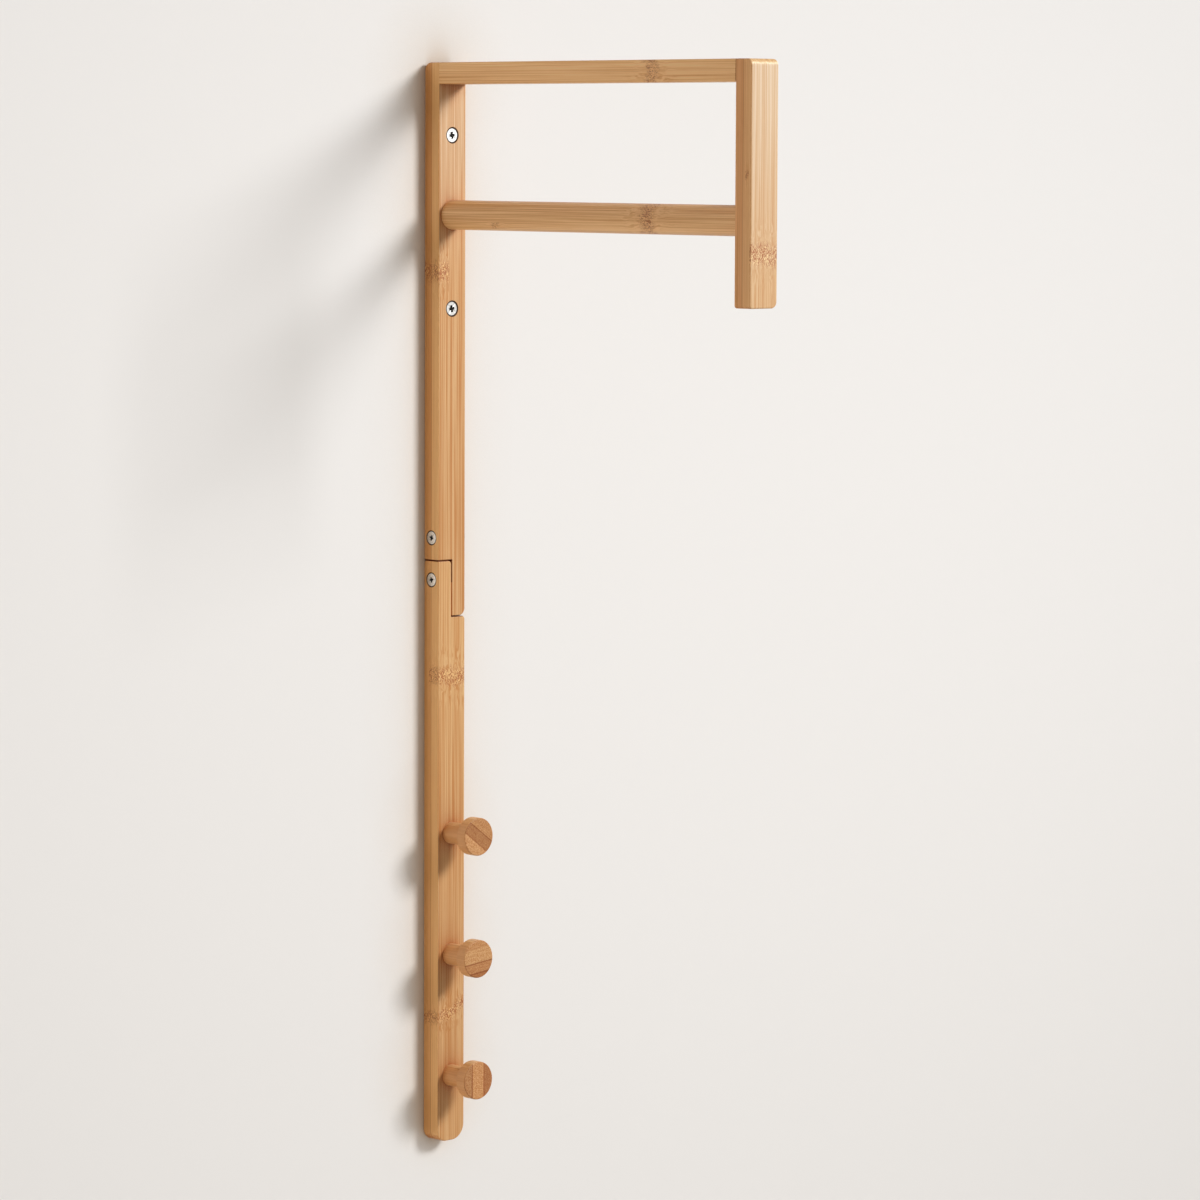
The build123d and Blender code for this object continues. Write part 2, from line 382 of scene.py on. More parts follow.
def fibre_effect() -> bpy.types.NodeTree:
    """Builds the long fibres of the bamboo, which run along Z.

    Returns:
        A group that gives the fibres' broad and fine tones, their pores, and the height of their grain.
    """
    effect = Effect(
        "fibres",
        {"Vector": "Vector", "Strip": "Color", "Bend": "Float"},
        {label: "Float" for label in (*FIBRES, "Height")},
    )
    wave_scale, wave_along, wave_reach = 260.0, 0.35, 5 * MM
    pore_depth = 0.5
    graph, given = effect.graph, effect.given
    shifted = graph.vector("ADD", given["Vector"], given["Strip"])
    wave = graph.noise(shifted, wave_scale, along=wave_along)
    wave = graph.spread(wave, graph.math("MULTIPLY", given["Bend"], wave_reach))
    bent = graph.vector("ADD", shifted, graph.joined(wave, wave, 0.0))
    raw = {}
    for label, streaks in FIBRES.items():
        raw[label] = graph.noise(bent, streaks.scale, along=streaks.along)
        effect.gives(label, graph.ramp(raw[label], streaks.low, streaks.high))
    pits = graph.math("MULTIPLY", raw["Pores"], pore_depth)
    effect.gives("Height", graph.math("SUBTRACT", raw["Fine"], pits))
    return effect.tree


def end_grain_effect() -> bpy.types.NodeTree:
    """Builds the cut ends of the fibres: dark dots, in rows, where the surface crosses the grain.

    Returns:
        A group that gives a mask of the end grain, its dots and the tone of their rows.
    """
    effect = Effect(
        "end_grain",
        {"Vector": "Vector", "Normal": "Vector", "Grain": "Vector"},
        {"End": "Float", "Dots": "Float", "Rows": "Float"},
    )
    side_on, end_on = 0.25, 0.75
    row_scale, row_across = 1100.0, 0.06
    row_low, row_high = 0.34, 0.66
    dot_scale = 1150.0
    dot_core, dot_edge = 0.14, 0.36
    graph, given = effect.graph, effect.given
    facing = graph.measure("DOT_PRODUCT", given["Normal"], given["Grain"])
    end = graph.ramp(graph.math("ABSOLUTE", facing), side_on, end_on)
    x, y, _ = graph.parts(given["Vector"])
    rows = graph.noise(graph.joined(x, graph.math("MULTIPLY", y, row_across), 0.0), row_scale, 2.0)
    flat = graph.joined(x, y, 0.0)
    spots = graph.node("ShaderNodeTexVoronoi", {"Vector": flat, "Scale": dot_scale}, voronoi_dimensions="2D")
    dots = graph.ramp(spots.outputs["Distance"], dot_core, dot_edge, 1.0, 0.0)
    effect.gives("End", end)
    effect.gives("Rows", graph.ramp(rows, row_low, row_high))
    effect.gives("Dots", graph.product(dots, end))
    return effect.tree


def countersink_effect() -> bpy.types.NodeTree:
    """Builds the dark mouth of a screw hole: crushed fibres, and painted shade in the countersink.

    Returns:
        A group that gives the mask of the mouth.
    """
    effect = Effect(
        "countersink",
        {"Vector": "Vector", "Centre": "Vector", "Radius": "Float"},
        {"Mouth": "Float"},
    )
    dark_inside_rim, clean = -0.25 * MM, 0.15 * MM
    graph, given = effect.graph, effect.given
    distance = graph.measure("LENGTH", graph.vector("SUBTRACT", given["Vector"], given["Centre"]))
    past_rim = graph.math("SUBTRACT", distance, given["Radius"])
    effect.gives("Mouth", graph.ramp(past_rim, dark_inside_rim, clean, 1.0, 0.0))
    return effect.tree


def plating_effect() -> bpy.types.NodeTree:
    """Builds the uneven sheen of plated steel.

    Returns:
        A group that gives the plating's cloudiness, and the height of its fine scratches.
    """
    effect = Effect("plating", {"Vector": "Vector"}, {"Cloud": "Float", "Height": "Float"})
    cloud_scale = 900.0
    scratch_scale, scratch_along = 2600.0, 6.0
    graph, given = effect.graph, effect.given
    effect.gives("Cloud", graph.noise(given["Vector"], cloud_scale, 3.0))
    effect.gives("Height", graph.noise(given["Vector"], scratch_scale, 2.0, along=scratch_along))
    return effect.tree


@dataclass
class Effects:
    """The node groups that the materials share."""

    lamination: bpy.types.NodeTree = field(default_factory=lamination_effect)
    knuckle: bpy.types.NodeTree = field(default_factory=knuckle_effect)
    patch: bpy.types.NodeTree = field(default_factory=patch_effect)
    fibres: bpy.types.NodeTree = field(default_factory=fibre_effect)
    end_grain: bpy.types.NodeTree = field(default_factory=end_grain_effect)
    countersink: bpy.types.NodeTree = field(default_factory=countersink_effect)
    plating: bpy.types.NodeTree = field(default_factory=plating_effect)


class Grain(Enum):
    """Which way the fibres of a piece run, as its grain's direction and the turn that brings it upright."""

    UPRIGHT = ((0.0, 0.0, 1.0), 0.0)
    OUTWARD = ((0.0, 1.0, 0.0), math.pi / 2)

    @property
    def direction(self) -> tuple[float, float, float]:
        """The direction of the fibres on the piece."""
        return self.value[0]

    @property
    def tilt(self) -> float:
        """The turn about X that makes the fibres run along Z."""
        return self.value[1]


@dataclass(frozen=True)
class Knuckle:
    """One knuckle mark: its place and half length along the grain, and its reach across the strip."""

    centre: float
    half_length: float = 6 * MM
    low: float = -BEYOND
    high: float = BEYOND
    shallow: float = -BEYOND
    deep: float = BEYOND
    slant: float = 0.0

    def inputs(self) -> dict[str, float]:
        """Gives the mark's values by the names of the knuckle group's inputs."""
        return {name.replace("_", " ").title(): value for name, value in asdict(self).items()}


@dataclass(frozen=True)
class Patch:
    """One strip, ply or seam with a tint of its own, from one corner to the other. A seam's dark tint is
    partly painted shade in the joint's gap.
    """

    low: tuple[float, float, float]
    high: tuple[float, float, float]
    tint: Color

    @classmethod
    def strip(cls, low: float, high: float, tint: Color) -> "Patch":
        """Tints a strip, between two places across the width, in millimetres."""
        return cls((low * MM, -BEYOND, -BEYOND), (high * MM, BEYOND, BEYOND), tint)

    @classmethod
    def ply(cls, low: float, high: float, tint: Color) -> "Patch":
        """Tints a ply, between two depths, in millimetres."""
        return cls((-BEYOND, low * MM, -BEYOND), (BEYOND, high * MM, BEYOND), tint)

    @classmethod
    def seam(
        cls, left: float, right: float, bottom: float, top: float, tint: Color = (0.28, 0.18, 0.12)
    ) -> "Patch":
        """Darkens the edges of a joint, between four places in millimetres: a dark joint line, partly painted
        shade in its gap.
        """
        return cls((left * MM, -BEYOND, bottom * MM), (right * MM, BEYOND, top * MM), tint)


@dataclass(frozen=True)
class Mouth:
    """The dark edge of a hole, crushed fibres and painted shade: its middle, its radius and how dark it is,
    from 0 to 1.
    """

    centre: tuple[float, float, float]
    radius: float
    share: float = 0.95


@dataclass(frozen=True)
class Bamboo:
    """A clear-lacquered bamboo, glued up from strips.

    Its tone, burnt and soot are colours. Its other colours are tints, which the wood's own colour is
    multiplied by. The flank light, sheen and shade tints are painted light.
    """

    name: str
    grain: Grain
    heart: tuple[float, float, float] = (0.0, 0.0, 0.0)
    strip_width: float = 26 * MM
    strip_shift: float = 13 * MM
    ply_thickness: float = 7.5 * MM
    ply_shift: float = 15 * MM
    turn: float = 0.0
    seed: float = 1.0

    tone: Color = srgb(230, 189, 129)
    deep: Color = (0.80, 0.64, 0.48)
    pale: Color = (1.14, 1.24, 1.40)
    burnt: Color = srgb(144, 62, 20)
    # Crushed fibres, and painted shade in the countersinks.
    soot: Color = srgb(44, 25, 14)
    strip_contrast: float = 0.25
    broad_contrast: float = 0.35
    fine_contrast: float = 0.75
    pore_share: float = 0.28
    seam: float = 0.45

    end: Color = (0.80, 0.68, 0.56)
    row_share: float = 0.45
    dot_share: float = 0.30
    figure_on_ends: bool = False

    # Painted light on the flanks: a tint for how the sides are lit otherwise than the front; flank_calm only
    # quiets their figure.
    flank: Color = (1.19, 1.03, 0.93)
    flank_calm: float = 0.6
    flank_facing: tuple[float, float] = (0.3, 0.8)
    front_facing: tuple[float, float] = (-0.99, -0.72)
    # Painted sheen: the front made paler towards one end, where the lamp's sheen falls.
    fade: tuple[float, float] | None = None
    faded: Color = (1.06, 1.22, 1.50)
    # Painted shade: the front darkened and warmed where it stands close to other pieces.
    hollow_reach: float = 0.0
    hollow_range: tuple[float, float] = (0.35, 0.88)
    hollow: Color = (0.66, 0.40, 0.24)

    mark_share: float = 0.10
    curl_scale: float = 760.0
    curl_along: float = 0.6
    curl_bend: float = 2.2
    curl_range: tuple[float, float] = (0.48, 0.57)
    curl_share: float = 0.68
    # A painted glint of light on the pale fibres between the curls.
    glint_range: tuple[float, float] = (0.38, 0.46)
    glint_share: float = 0.6
    glint: Color = (1.16, 1.22, 1.24)

    roughness: float = 0.40
    fine_roughness: float = 0.12
    end_roughness: float = 0.14
    seam_depth: float = 0.4
    mark_height: float = 0.2
    relief_strength: float = 0.22
    relief_height: float = 0.12 * MM
    sheen: float = 0.3
    coat: float = 0.12
    coat_roughness: float = 0.27

    patches: tuple[Patch, ...] = ()
    knuckles: tuple[Knuckle, ...] = ()
    mouths: tuple[Mouth, ...] = ()

    def shade(self, share: Color) -> Color:
        """Gives the wood's own tone, with each part of it scaled."""
        return tuple(part * scale for part, scale in zip(self.tone, share, strict=True))

    def material(self, effects: Effects) -> bpy.types.Material:
        """Builds the material.

        Args:
            effects: The node groups that it uses.

        Returns:
            The material.
        """
        material, graph = new_material(self.name)
        texture = graph.node("ShaderNodeTexCoord").outputs
        local = graph.vector("SUBTRACT", texture["Object"], self.heart)
        rotation = (self.grain.tilt, 0.0, self.turn)
        turned = graph.node("ShaderNodeMapping", {"Vector": local, "Rotation": rotation})
        upright = turned.outputs["Vector"]
        place = graph.vector("ADD", upright, (self.strip_shift, self.ply_shift, 0.0))
        widths = {"Strip Width": self.strip_width, "Ply Thickness": self.ply_thickness}
        lay = graph.effect(effects.lamination, {"Vector": place, "Seed": self.seed} | widths).outputs
        mark, bend = self._marks(graph, effects, upright)
        fibres = graph.effect(effects.fibres, {"Vector": place, "Strip": lay["Strip"], "Bend": bend}).outputs
        ends = graph.effect(
            effects.end_grain, {"Vector": place, "Normal": texture["Normal"], "Grain": self.grain.direction}
        ).outputs
        outward = graph.parts(texture["Normal"])
        sideways = graph.ramp(graph.math("ABSOLUTE", outward[0]), *self.flank_facing)
        curls = graph.noise(place, self.curl_scale, 1.0, self.curl_bend, self.curl_along)
        color = self._wood(graph, lay, fibres, ends, sideways)
        color = self._patched(graph, effects, upright, ends["End"], color)
        color = self._knuckled(graph, mark, curls, color)
        color = self._weathered(graph, upright, outward[1], color)
        # The flanks get a tint of painted light, as they are lit otherwise than the front.
        color = graph.tinted(sideways, color, self.flank)
        color = self._drilled(graph, effects, texture["Object"], color)
        shader = material.node_tree.nodes["Principled BSDF"]
        graph.feed(shader.inputs["Base Color"], color)
        rough = graph.math("MULTIPLY", fibres["Fine"], self.fine_roughness)
        rough = graph.math("ADD", self.roughness, rough)
        rough = graph.math("ADD", rough, graph.math("MULTIPLY", ends["End"], self.end_roughness))
        graph.feed(shader.inputs["Roughness"], rough)
        relief = graph.math("MULTIPLY", lay["Glue Line"], self.seam_depth)
        relief = graph.math("SUBTRACT", fibres["Height"], relief)
        raised = graph.product(mark, graph.math("MULTIPLY", curls, self.mark_height))
        relief = graph.math("ADD", relief, raised)
        bump = {"Height": relief, "Strength": self.relief_strength, "Distance": self.relief_height}
        graph.feed(shader.inputs["Normal"], graph.node("ShaderNodeBump", bump).outputs["Normal"])
        shader.inputs["Specular IOR Level"].default_value = self.sheen
        shader.inputs["Coat Weight"].default_value = self.coat
        shader.inputs["Coat Roughness"].default_value = self.coat_roughness
        return material

    def _marks(self, graph: Graph, effects: Effects, place: Socket) -> tuple[Socket, Socket]:
        """Places the knuckle marks.

        Args:
            graph: The material's node tree.
            effects: The node groups.
            place: The place on the piece, with its grain upright.

        Returns:
            The mask of all marks, and the wider mask of bent fibres.
        """
        mark, bend = 0.0, 0.0
        for knuckle in self.knuckles:
            found = graph.effect(effects.knuckle, {"Vector": place} | knuckle.inputs()).outputs
            mark = graph.math("MAXIMUM", mark, found["Mark"])
            bend = graph.math("MAXIMUM", bend, found["Bend"])
        return mark, bend

    def _wood(
        self,
        graph: Graph,
        lay: bpy.types.NodeOutputs,
        fibres: bpy.types.NodeOutputs,
        ends: bpy.types.NodeOutputs,
        sideways: Socket,
    ) -> Socket:
        """Colours the wood between its knuckles.

        Args:
            graph: The material's node tree.
            lay: What the lamination group gives.
            fibres: What the fibre group gives.
            ends: What the end grain group gives.
            sideways: The mask of the flanks, where the fibres show less.

        Returns:
            The colour.
        """
        calm = graph.math("SUBTRACT", 1.0, graph.math("MULTIPLY", sideways, self.flank_calm))
        own = graph.node("ShaderNodeSeparateColor", {0: lay["Strip"]}).outputs[0]
        tone = graph.spread(own, self.strip_contrast)
        for label, contrast in (("Broad", self.broad_contrast), ("Fine", self.fine_contrast)):
            tone = graph.math("ADD", tone, graph.product(graph.spread(fibres[label], contrast), calm))
        tone = graph.math("ADD", tone, 0.5)
        deep = self.shade(self.deep)
        color = graph.mix(graph.ramp(tone, 0.0, 0.5), deep, self.tone)
        color = graph.mix(graph.ramp(tone, 0.5, 1.0), color, self.shade(self.pale))
        pores = graph.math("MULTIPLY", calm, self.pore_share)
        color = graph.mix(graph.product(fibres["Pores"], pores), color, deep)
        seam = graph.math("MULTIPLY", lay["Glue Line"], self.seam)
        if self.figure_on_ends:
            seam = graph.product(seam, ends["End"])
        color = graph.mix(seam, color, self.burnt)
        darker = graph.mix(1.0, color, self.end, "MULTIPLY")
        rows = graph.mix(graph.math("MULTIPLY", ends["Rows"], self.row_share), darker, self.burnt)
        color = graph.mix(ends["End"], color, rows)
        return graph.mix(graph.math("MULTIPLY", ends["Dots"], self.dot_share), color, self.burnt)

    def _patched(self, graph: Graph, effects: Effects, place: Socket, end: Socket, color: Socket) -> Socket:
        """Tints the strips, plies and seams.

        Args:
            graph: The material's node tree.
            effects: The node groups.
            place: The place on the piece, with its grain upright.
            end: The mask of the end grain.
            color: The colour of the wood.

        Returns:
            The tinted colour.
        """
        for patch in self.patches:
            inputs = {"Vector": place, "Low": patch.low, "High": patch.high}
            inside = graph.effect(effects.patch, inputs).outputs["Inside"]
            if self.figure_on_ends:
                inside = graph.product(inside, end)
            color = graph.tinted(inside, color, patch.tint)
        return color

    def _knuckled(self, graph: Graph, mark: Socket, curls: Socket, color: Socket) -> Socket:
        """Colours the knuckle marks: curls of burnt fibres, with pale ones between them that carry a painted
        glint of light.

        Args:
            graph: The material's node tree.
            mark: The mask of the marks.
            curls: The noise that the fibres curl by.
            color: The colour of the wood.

        Returns:
            The colour with its marks.
        """
        curl = graph.math("MULTIPLY", graph.ramp(curls, *self.curl_range), self.curl_share)
        glint = graph.math("MULTIPLY", graph.ramp(curls, *self.glint_range, 1.0, 0.0), self.glint_share)
        color = graph.mix(graph.math("MULTIPLY", mark, self.mark_share), color, self.burnt)
        color = graph.mix(graph.product(mark, curl), color, self.burnt)
        return graph.mix(graph.product(mark, glint), color, self.shade(self.glint))

    def _weathered(self, graph: Graph, place: Socket, outward: Socket, color: Socket) -> Socket:
        """Paints a sheen of light onto one end of the front, and warm painted shade onto the parts of the
        front that stand close to other pieces.

        Args:
            graph: The material's node tree.
            place: The place on the piece, with its grain upright.
            outward: How far the surface faces the wall, from -1 to 1.
            color: The colour of the wood.

        Returns:
            The tinted colour.
        """
        front = graph.ramp(outward, *self.front_facing, 1.0, 0.0)
        # Painted sheen: the front is made paler along a span of its length.
        if self.fade:
            painted_sheen_mask = graph.product(graph.ramp(graph.parts(place)[2], *self.fade), front)
            color = graph.tinted(painted_sheen_mask, color, self.faded)
        # Painted shade: fronts that stand close to other pieces are darkened and warmed.
        if self.hollow_reach:
            closed = graph.ramp(graph.open_air(self.hollow_reach), *self.hollow_range, 1.0, 0.0)
            color = graph.tinted(graph.product(closed, front), color, self.hollow)
        return color

    def _drilled(self, graph: Graph, effects: Effects, place: Socket, color: Socket) -> Socket:
        """Darkens the mouths of the screw holes: crushed fibres, and painted shade in the countersinks.

        Args:
            graph: The material's node tree.
            effects: The node groups.
            place: The place on the piece.
            color: The colour of the wood.

        Returns:
            The colour with its dark mouths.
        """
        for mouth in self.mouths:
            inputs = {"Vector": place, "Centre": mouth.centre, "Radius": mouth.radius}
            found = graph.effect(effects.countersink, inputs).outputs["Mouth"]
            color = graph.mix(graph.math("MULTIPLY", found, mouth.share), color, self.soot)
        return color


@dataclass(frozen=True)
class Plating:
    """Plated steel."""

    name: str
    color: Color
    roughness: float
    clouds: tuple[float, float] = (0.45, 0.75)
    dullness: float = 0.72
    polish: float = 0.06
    cloud_roughness: float = 0.14
    scratch_strength: float = 0.15
    scratch_height: float = 0.03 * MM

    def material(self, effects: Effects) -> bpy.types.Material:
        """Builds the material.

        Args:
            effects: The node groups that it uses.

        Returns:
            The material.
        """
        material, graph = new_material(self.name)
        shader = material.node_tree.nodes["Principled BSDF"]
        place = graph.node("ShaderNodeTexCoord").outputs["Object"]
        plating = graph.effect(effects.plating, {"Vector": place}).outputs
        dull = tuple(part * self.dullness for part in self.color)
        color = graph.mix(graph.ramp(plating["Cloud"], *self.clouds), self.color, dull)
        graph.feed(shader.inputs["Base Color"], color)
        rough = graph.math("MULTIPLY", plating["Cloud"], self.cloud_roughness)
        graph.feed(shader.inputs["Roughness"], graph.math("ADD", self.roughness - self.polish, rough))
        bump = graph.node(
            "ShaderNodeBump",
            {"Height": plating["Height"], "Strength": self.scratch_strength, "Distance": self.scratch_height},
        )
        graph.feed(shader.inputs["Normal"], bump.outputs["Normal"])
        shader.inputs["Metallic"].default_value = 1.0
        return material


class Facing(Enum):
    """Which way a screw's head faces."""

    ROOM = Euler((math.pi / 2, 0.0, 0.0))
    WALL = Euler((-math.pi / 2, 0.0, 0.0))
    LEFT = Euler((0.0, -math.pi / 2, 0.0))


class Tip(Enum):
    """How a screw ends: the share of its width that is left at its very end."""

    POINTED = 0.04
    BLUNT = 0.78


@dataclass(frozen=True)
class Screw:
    """The sizes of a countersunk screw with a cross recess.

    The recess's sizes and the ticks' places are shares of the head. Root and crest are shares of the pitch:
    where the thread leaves and meets its core, and where it is widest.
    """

    head: float
    shank: float
    thread: float
    core: float
    length: float
    plain: float
    point: float
    pitch: float
    tip: Tip = Tip.POINTED
    rim: float = 0.3 * MM
    ease: float = 0.25 * MM
    recess_span: float = 0.50
    recess_width: float = 0.20
    recess_depth: float = 0.30
    recess_floor: float = 0.55
    tick_depth: float = 0.0
    tick_start: float = 0.80
    tick_start_depth: float = 0.4
    tick_end: float = 0.66
    root: tuple[float, float] = (0.30, 0.70)
    crest: tuple[float, float] = (0.46, 0.54)
    steps: int = 24
    weld: float = 0.002 * MM
    sides: int = 48

    def build(self) -> bmesh.types.BMesh:
        """Builds the screw upright, with the top of its head at height zero.

        Returns:
            The screw as a closed mesh.
        """
        bm = bmesh.new()
        top = self._thread(bm)
        circle = bmesh.ops.create_circle(bm, cap_ends=False, segments=self.sides, radius=self.shank / 2)
        ring = circle["verts"]
        bmesh.ops.translate(bm, verts=ring, vec=(0.0, 0.0, -self.plain))
        lower = [e for e in bm.edges if e.verts[0] in ring and e.verts[1] in ring]
        upper = self._head(bm, lower)
        bmesh.ops.contextual_create(bm, geom=upper)
        # The recess and the head's eased rim get the dark recess finish: painted shade.
        for vert in {vert for edge in upper for vert in edge.verts}:
            for face in vert.link_faces:
                face.material_index = 1
        nearly = 1.01 * self.ease
        inner = self.head / 2 - nearly
        for face in bm.faces:
            if all(vert.co.xy.length > inner and vert.co.z > -nearly for vert in face.verts):
                face.material_index = 1
        bmesh.ops.bridge_loops(bm, edges=lower + top)
        bmesh.ops.recalc_face_normals(bm, faces=bm.faces)
        return bm

    def _thread(self, bm: bmesh.types.BMesh) -> list[bmesh.types.BMEdge]:
        """Builds the thread down to the screw's tip, as a profile spun down a helix.

        Args:
            bm: The mesh that it is added to.

        Returns:
            The edges of the thread's open top.
        """
        core, crest = self.core / 2, self.thread / 2
        start = self.pitch - self.plain
        profile = [(core, 0.0), (core, self.root[0])]
        profile += [(crest, share) for share in self.crest]
        profile += [(core, self.root[1]), (core, 1.0)]
        verts = [bm.verts.new((radius, 0.0, start - share * self.pitch)) for radius, share in profile]
        edges = [bm.edges.new(pair) for pair in zip(verts, verts[1:])]
        turns = math.ceil((self.length - self.plain) / self.pitch) + 2
        bmesh.ops.spin(
            bm,
            geom=verts + edges,
            cent=(0.0, 0.0, 0.0),
            axis=(0.0, 0.0, 1.0),
            dvec=(0.0, 0.0, -self.pitch / self.steps),
            angle=turns * math.tau,
            steps=turns * self.steps,
        )
        bmesh.ops.remove_doubles(bm, verts=bm.verts, dist=self.weld)
        for height, normal in ((-self.plain, 1.0), (-self.length, -1.0)):
            bmesh.ops.bisect_plane(
                bm,
                geom=bm.verts[:] + bm.edges[:] + bm.faces[:],
                plane_co=(0.0, 0.0, height),
                plane_no=(0.0, 0.0, normal),
                clear_outer=True,
            )
        for vert in bm.verts:
            share = min(1.0, (vert.co.z + self.length) / self.point)
            vert.co.xy *= self.tip.value + (1.0 - self.tip.value) * share
        open_edges = [e for e in bm.edges if e.is_boundary]
        middle = -(self.plain + self.length) / 2
        bmesh.ops.contextual_create(bm, geom=[e for e in open_edges if e.verts[0].co.z < middle])
        return [e for e in open_edges if e.verts[0].co.z > middle]

    def _head(self, bm: bmesh.types.BMesh, edges: list[bmesh.types.BMEdge]) -> list[bmesh.types.BMEdge]:
        """Builds the plain shank, the cone of the head, its rim and its recess.

        Args:
            bm: The mesh that they are added to.
            edges: The ring at the lower end of the plain shank.

        Returns:
            The edges round the floor of the recess.
        """
        radius, ease = self.head / 2, self.ease
        neck = self.rim + radius - self.shank / 2
        rings = ((self.shank / 2, -neck), (radius, -self.rim), (radius, -ease), (radius - ease, 0.0))
        for width, height in rings:
            edges = self._ring(bm, edges, lambda angle, width=width: width, height)
        shallow = self.tick_depth * self.tick_start_depth
        edges = self._ring(bm, edges, lambda angle: self.tick_start * radius, 0.0, shallow)
        edges = self._ring(bm, edges, lambda angle: self.tick_end * radius, 0.0, self.tick_depth)
        edges = self._ring(bm, edges, self._cross, 0.0, self.tick_depth)
        depth = self.recess_depth * self.head
        return self._ring(bm, edges, lambda angle: self.recess_floor * self._cross(angle), -depth)

    def _cross(self, angle: float) -> float:
        """Gives the recess's outline.

        Args:
            angle: The direction from the head's centre, in radians.

        Returns:
            How far the recess reaches in that direction.
        """
        span, width = self.recess_span * self.head / 2, self.recess_width * self.head / 2
        folded = abs((angle + math.pi / 4) % (math.pi / 2) - math.pi / 4)
        return min(span / math.cos(folded), width / max(math.sin(folded), 1e-6))

    @staticmethod
    def _ring(
        bm: bmesh.types.BMesh,
        edges: list[bmesh.types.BMEdge],
        reach: Callable[[float], float],
        height: float,
        tick: float = 0.0,
    ) -> list[bmesh.types.BMEdge]:
        """Extrudes a ring of edges to a new outline at a new height.

        Args:
            bm: The mesh.
            edges: The ring.
            reach: The new distance from the axis, by direction.
            height: The new height.
            tick: How much lower the ring dips on the four diagonals.

        Returns:
            The new ring's edges.
        """
        made = bmesh.ops.extrude_edge_only(bm, edges=edges)["geom"]
        for vert in (g for g in made if isinstance(g, bmesh.types.BMVert)):
            angle = math.atan2(vert.co.y, vert.co.x)
            diagonal = abs((angle % (math.pi / 2)) - math.pi / 4) < 0.01
            far = reach(angle)
            vert.co = (far * math.cos(angle), far * math.sin(angle), height - (tick if diagonal else 0.0))
        return [g for g in made if isinstance(g, bmesh.types.BMEdge)]


# Painted shade for the screws' recesses and rims.
RECESS = Plating("recess_shade", (0.16, 0.155, 0.15), 0.5)
NUT = Plating("nut_nickel", (0.72, 0.70, 0.66), 0.34)


@dataclass
class ScrewSet:
    """Equal screws that stand for one node of the frame.

    Each has its own turn about its axis, in radians. The finishes go to the screws in order, and the last of
    them to all that are left.
    """

    node: str
    name: str
    screw: Screw
    facing: Facing
    slot: str
    finishes: tuple[Plating, ...]
    turns: tuple[float, ...]
    smooth_below: float = math.radians(32)

    def build(self, effects: Effects) -> bpy.types.Object:
        """Builds the screws where the node's own are, and hides the node.

        Args:
            effects: The node groups that the finish uses.

        Returns:
            The object that holds all the screws of the set.
        """
        mesh = bpy.data.meshes.new(self.name)
        whole = bmesh.new()
        for i, (place, turn) in enumerate(zip(self._places(), self.turns, strict=True)):
            one = self.screw.build()
            own = min(i, len(self.finishes) - 1)
            for face in one.faces:
                face.material_index = len(self.finishes) if face.material_index else own
            matrix = Matrix.Translation(place) @ self.facing.value.to_matrix().to_4x4()
            bmesh.ops.transform(one, matrix=matrix @ Matrix.Rotation(turn, 4, "Z"), verts=one.verts)
            part = bpy.data.meshes.new("part")
            one.to_mesh(part)
            one.free()
            whole.from_mesh(part)
            bpy.data.meshes.remove(part)
        whole.to_mesh(mesh)
        whole.free()
        mesh.shade_smooth()
        mesh.set_sharp_from_angle(angle=self.smooth_below)
        for finish in (*self.finishes, RECESS):
            mesh.materials.append(finish.material(effects))
        piece = bpy.data.objects.new(self.name, mesh)
        bpy.context.scene.collection.objects.link(piece)
        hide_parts(self.node)
        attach(piece, BODY)
        return piece

    def _places(self) -> list[Vector]:
        """Reads from the node's box where the tops of the heads are.

        Returns:
            The middle of each head's top, in order along the line that the screws stand in.
        """
        low, high = (Vector(corner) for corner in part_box(self.node))
        middle, half = (low + high) / 2, self.screw.head / 2
        top = {Facing.ROOM: low.y, Facing.WALL: high.y, Facing.LEFT: low.x}[self.facing]
        if self.facing is Facing.LEFT:
            return [Vector((top, middle.y, middle.z))]
        line = 2 if high.z - low.z > high.x - low.x else 0
        count = len(self.turns)
        places = []
        for i in range(count):
            place = Vector((middle.x, top, middle.z))
            share = i / (count - 1) if count > 1 else 0.5
            place[line] = low[line] + half + share * (high[line] - low[line] - 2 * half)
            places.append(place)
        return places


class Woodwork:
    """Bamboo pieces of the frame that belong together, each with the figure of its own strip."""

    def finishes(self) -> dict[str, Bamboo]:
        """Chooses the finish of each piece, by its node."""
        raise NotImplementedError

    def dress(self, effects: Effects) -> Iterable[str]:
        """Gives each node its material.

        Args:
            effects: The node groups that the finishes use.

        Yields:
            The name of each node, once it is dressed.
        """
        for node, finish in self.finishes().items():
            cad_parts[node].material_slots[0].material = finish.material(effects)
            yield node


